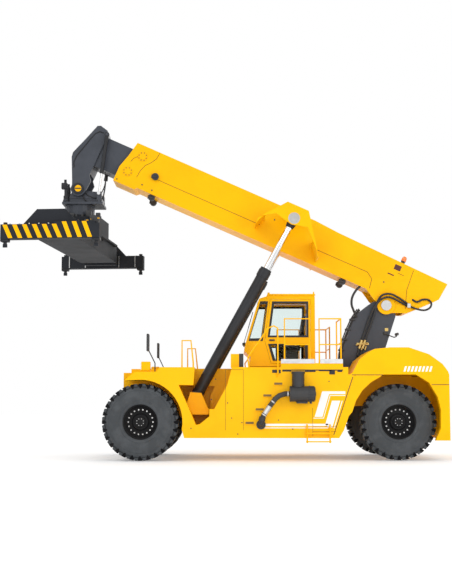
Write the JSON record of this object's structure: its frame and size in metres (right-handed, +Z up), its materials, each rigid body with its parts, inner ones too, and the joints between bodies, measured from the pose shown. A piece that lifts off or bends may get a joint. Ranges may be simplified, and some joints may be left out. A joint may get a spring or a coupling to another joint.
{
  "type": "reach stacker",
  "caption": "Container handler with a telescopic boom on lift cylinders, a swivelling extending spreader, a cab with doors, twin front wheels and steered rear wheels.",
  "frame": {"origin": "middle of the whole machine's footprint box, on the ground", "axes": "+X towards the counterweight along the machine, +Y to its right side, +Z up"},
  "size_m": [11.312, 6.3146, 8.8151],
  "materials": {
    "yellow_paint": "gloss",
    "grey_paint": "satin",
    "black_paint": "satin",
    "rim_paint": "matt",
    "chrome": "polished",
    "cast_iron": "painted black",
    "tyre_rubber": "matt",
    "tinted_glass": "polished",
    "seat_fabric": "woven",
    "black_plastic": "matt",
    "amber_lens": "gloss"
  },
  "bodies": {
    "chassis": {"chassis_frame": "yellow_paint", "engine_and_gearbox": "cast_iron", "centre_deck": "yellow_paint", "left_platform": "yellow_paint", "right_platform": "yellow_paint", "left_side_body": "yellow_paint", "right_side_body": "yellow_paint", "rear_hood": "yellow_paint", "counterweight": "yellow_paint", "boom_tower": "grey_paint", "boom_pivot_pin": "chrome", "front_axle": "cast_iron", "rear_axle": "cast_iron", "cab_shell": "yellow_paint", "windscreen": "tinted_glass", "rear_window": "tinted_glass", "seat_stand": "black_plastic", "seat_cushion": "seat_fabric", "seat_back": "seat_fabric", "steering_wheel": "black_plastic", "air_cleaner": "black_plastic", "intake_pipe": "black_plastic", "deck_cabinet": "yellow_paint", "left_mirror": "black_plastic", "right_mirror": "black_plastic"},
    "boom": {"outer_boom": "yellow_paint", "beacon": "amber_lens"},
    "boom_head": {"inner_boom": "grey_paint", "gooseneck": "grey_paint", "left_damper_barrel": "black_paint", "right_damper_barrel": "black_paint"},
    "damper_rods": {"left_damper_rod": "chrome", "right_damper_rod": "chrome"},
    "hanging": {"hang_frame": "grey_paint"},
    "slewing": {"slew_carriage": "black_paint"},
    "spreader": {"spreader_frame": "black_paint"},
    "left_arm": {"left_spreader_arm": "black_paint"},
    "right_arm": {"right_spreader_arm": "black_paint"},
    "lift_barrels": {"left_lift_barrel": "black_paint", "right_lift_barrel": "black_paint"},
    "lift_rods": {"left_lift_rod": "chrome", "right_lift_rod": "chrome"},
    "left_steering": {"left_knuckle": "cast_iron"},
    "right_steering": {"right_knuckle": "cast_iron"},
    "left_rear_wheel": {"left_rear_tyre": "tyre_rubber", "left_rear_rim": "rim_paint"},
    "right_rear_wheel": {"right_rear_tyre": "tyre_rubber", "right_rear_rim": "rim_paint"},
    "left_front_wheels": {"left_front_outer_tyre": "tyre_rubber", "left_front_inner_tyre": "tyre_rubber", "left_front_rim": "rim_paint"},
    "right_front_wheels": {"right_front_outer_tyre": "tyre_rubber", "right_front_inner_tyre": "tyre_rubber", "right_front_rim": "rim_paint"},
    "left_door": {"left_cab_door": "yellow_paint"},
    "right_door": {"right_cab_door": "yellow_paint"}
  },
  "joints": [
    {"name": "boom_lift", "type": "hinge", "parent": "chassis", "child": "boom", "pos_m": [4.02495, 0, 3.97], "axis": [0, -1, 0], "range_deg": [-36, 20]},
    {"name": "boom_extend", "type": "slide", "parent": "boom", "child": "boom_head", "axis": [-0.9135, 0, 0.4067], "range_m": [-0.2, 6.3]},
    {"name": "damper_slide", "type": "slide", "parent": "boom_head", "child": "damper_rods", "axis": [-0.1274, 0, -0.9919], "range_m": [-0.36, 0.2]},
    {"name": "spreader_hang", "type": "hinge", "parent": "boom_head", "child": "hanging", "pos_m": [-4.1242, 0, 7.10565], "axis": [0, 1, 0], "range_deg": [-36, 20]},
    {"name": "spreader_slew", "type": "hinge", "parent": "hanging", "child": "slewing", "pos_m": [-4.1242, 0, 6.4], "axis": [0, 0, 1], "range_deg": [-185, 95]},
    {"name": "side_shift", "type": "slide", "parent": "slewing", "child": "spreader", "axis": [0.1045, 0.9945, 0], "range_m": [-0.8, 0.8]},
    {"name": "left_arm_slide", "type": "slide", "parent": "spreader", "child": "left_arm", "axis": [-0.1045, -0.9945, 0], "range_m": [0, 3.066]},
    {"name": "right_arm_slide", "type": "slide", "parent": "spreader", "child": "right_arm", "axis": [0.1045, 0.9945, 0], "range_m": [0, 3.066]},
    {"name": "lift_barrel_swing", "type": "hinge", "parent": "chassis", "child": "lift_barrels", "pos_m": [-0.96505, 0, 1.55], "axis": [0, -1, 0], "range_deg": [-6.5, 3.6]},
    {"name": "lift_rod_slide", "type": "slide", "parent": "lift_barrels", "child": "lift_rods", "axis": [0.4829, 0, 0.8757], "range_m": [-1.15, 2.06]},
    {"name": "left_steer", "type": "hinge", "parent": "chassis", "child": "left_steering", "pos_m": [4.10495, -1.25, 0.95], "axis": [0, 0, 1], "range_deg": [-40, 40]},
    {"name": "right_steer", "type": "hinge", "parent": "chassis", "child": "right_steering", "pos_m": [4.10495, 1.25, 0.95], "axis": [0, 0, 1], "range_deg": [-40, 40]},
    {"name": "left_rear_roll", "type": "hinge", "parent": "left_steering", "child": "left_rear_wheel", "pos_m": [4.10495, -1.5, 0.95], "axis": [0, 1, 0], "continuous": true},
    {"name": "right_rear_roll", "type": "hinge", "parent": "right_steering", "child": "right_rear_wheel", "pos_m": [4.10495, 1.5, 0.95], "axis": [0, 1, 0], "continuous": true},
    {"name": "left_front_roll", "type": "hinge", "parent": "chassis", "child": "left_front_wheels", "pos_m": [-2.29505, -1.5, 0.95], "axis": [0, 1, 0], "continuous": true},
    {"name": "right_front_roll", "type": "hinge", "parent": "chassis", "child": "right_front_wheels", "pos_m": [-2.29505, 1.5, 0.95], "axis": [0, 1, 0], "continuous": true},
    {"name": "left_door_hinge", "type": "hinge", "parent": "chassis", "child": "left_door", "pos_m": [2.00495, -0.816, 3.25], "axis": [0, 0, 1], "range_deg": [0, 80]},
    {"name": "right_door_hinge", "type": "hinge", "parent": "chassis", "child": "right_door", "pos_m": [2.00495, 0.816, 3.25], "axis": [0, 0, -1], "range_deg": [0, 80]}
  ],
  "couplings": [
    {"joint": "damper_slide", "follows": "spreader_hang", "m_per_rad": 0.5605},
    {"joint": "lift_barrel_swing", "follows": "boom_lift", "ratio": 0.165},
    {"joint": "lift_rod_slide", "follows": "boom_lift", "m_per_rad": -3.24},
    {"joint": "right_arm_slide", "follows": "left_arm_slide", "ratio": 1},
    {"joint": "right_steer", "follows": "left_steer", "ratio": 1}
  ]
}
